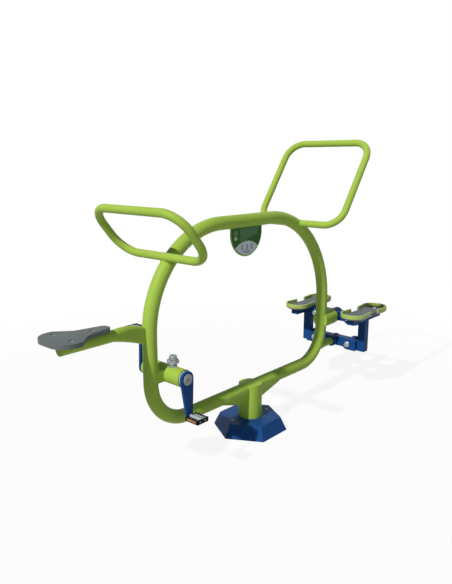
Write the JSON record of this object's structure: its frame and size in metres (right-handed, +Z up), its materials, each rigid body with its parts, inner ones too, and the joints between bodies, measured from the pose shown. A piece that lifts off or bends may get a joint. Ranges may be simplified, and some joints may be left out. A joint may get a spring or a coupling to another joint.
{
  "type": "outdoor bike and stepper station",
  "caption": "Outdoor exercise station: a closed tube loop on an anchored post carries a seat with a pedal crank and braking screw at one end and a pair of level rocking foot trays at the other.",
  "frame": {"origin": "centre of the base plate's underside, on the ground", "axes": "+Z up, +X from the seat towards the stepper, the braking screw on the -Y side"},
  "size_m": [1.922, 0.51, 1.3102],
  "materials": {
    "green_paint": "semi-gloss powder coat",
    "blue_paint": "semi-gloss powder coat",
    "bare_steel": "zinc plated",
    "sign_paint": "matte paint",
    "seat_plastic": "moulded, fine grain",
    "seal_plastic": "moulded",
    "pedal_plastic": "moulded",
    "reflector_plastic": "clear orange",
    "tray_paint": "cast, powder coated",
    "mat_rubber": "ribbed",
    "bush_bronze": "turned"
  },
  "bodies": {
    "base": {"axle_lower": "bare_steel", "axle_upper": "bare_steel", "base_plate": "bare_steel", "base_post": "green_paint", "bearing_far": "bare_steel", "bearing_near": "bare_steel", "brake_boss": "green_paint", "brake_locknut": "bare_steel", "cover_far": "blue_paint", "cover_near": "blue_paint", "cover_screw_1": "bare_steel", "cover_screw_2": "bare_steel", "crank_housing": "green_paint", "frame_arch": "green_paint", "frame_lower": "green_paint", "handlebar_bike": "green_paint", "handlebar_step": "green_paint", "housing_bracket": "green_paint", "saddle_left": "green_paint", "saddle_right": "green_paint", "seal_far": "seal_plastic", "seal_near": "seal_plastic", "seat_bolt_1": "bare_steel", "seat_bolt_2": "bare_steel", "seat_bolt_3": "bare_steel", "seat_bracket": "green_paint", "seat_cap": "green_paint", "seat_horn": "green_paint", "seat_pad": "seat_plastic", "seat_tube": "green_paint", "sign_plate": "sign_paint", "stub_lower": "green_paint", "stub_upper": "green_paint"},
    "crank": {"crank_axle": "bare_steel", "crank_arm_near": "blue_paint", "crank_arm_far": "blue_paint", "crank_cap_near": "bare_steel", "crank_cap_far": "bare_steel", "pedal_spindle_near": "bare_steel", "pedal_spindle_far": "bare_steel"},
    "pedal_near": {"pedal_near": "pedal_plastic", "reflector_near": "reflector_plastic"},
    "pedal_far": {"pedal_far": "pedal_plastic", "reflector_far": "reflector_plastic"},
    "brake": {"brake_knob": "bare_steel"},
    "rocker_upper": {"rocker_upper": "blue_paint", "bush_upper": "bush_bronze"},
    "rocker_lower": {"rocker_lower": "blue_paint", "bush_lower": "bush_bronze"},
    "foot_near": {"foot_frame_near": "blue_paint", "pin_upper_near": "bare_steel", "pin_lower_near": "bare_steel", "tray_near": "tray_paint", "mat_near": "mat_rubber"},
    "foot_far": {"foot_frame_far": "blue_paint", "pin_upper_far": "bare_steel", "pin_lower_far": "bare_steel", "tray_far": "tray_paint", "mat_far": "mat_rubber"}
  },
  "joints": [
    {"name": "crank_turn", "type": "hinge", "parent": "base", "child": "crank", "pos_m": [-0.52, 0, 0.41], "axis": [0, 1, 0], "continuous": true},
    {"name": "brake_screw", "type": "hinge", "parent": "base", "child": "brake", "pos_m": [-0.52, -0.044, 0.48], "axis": [0, 0, 1], "range_deg": [-120, 240]},
    {"name": "rocker_upper_tilt", "type": "hinge", "parent": "base", "child": "rocker_upper", "pos_m": [0.723, 0, 0.4], "axis": [1, 0, 0], "range_deg": [-20, 20]},
    {"name": "rocker_lower_tilt", "type": "hinge", "parent": "base", "child": "rocker_lower", "pos_m": [0.723, 0, 0.261], "axis": [1, 0, 0], "range_deg": [-20, 20]},
    {"name": "pedal_turn_near", "type": "hinge", "parent": "crank", "child": "pedal_near", "pos_m": [-0.50954, -0.155, 0.26037], "axis": [0, 1, 0], "continuous": true},
    {"name": "foot_level_near", "type": "hinge", "parent": "rocker_upper", "child": "foot_near", "pos_m": [0.723, -0.102, 0.4], "axis": [1, 0, 0], "range_deg": [-20, 20]},
    {"name": "pedal_turn_far", "type": "hinge", "parent": "crank", "child": "pedal_far", "pos_m": [-0.53046, 0.155, 0.55963], "axis": [0, 1, 0], "continuous": true},
    {"name": "foot_level_far", "type": "hinge", "parent": "rocker_upper", "child": "foot_far", "pos_m": [0.723, 0.102, 0.4], "axis": [1, 0, 0], "range_deg": [-20, 20]}
  ],
  "couplings": [
    {"joint": "rocker_lower_tilt", "follows": "rocker_upper_tilt", "ratio": 1},
    {"joint": "foot_level_near", "follows": "rocker_upper_tilt", "ratio": -1},
    {"joint": "foot_level_far", "follows": "rocker_upper_tilt", "ratio": -1}
  ]
}
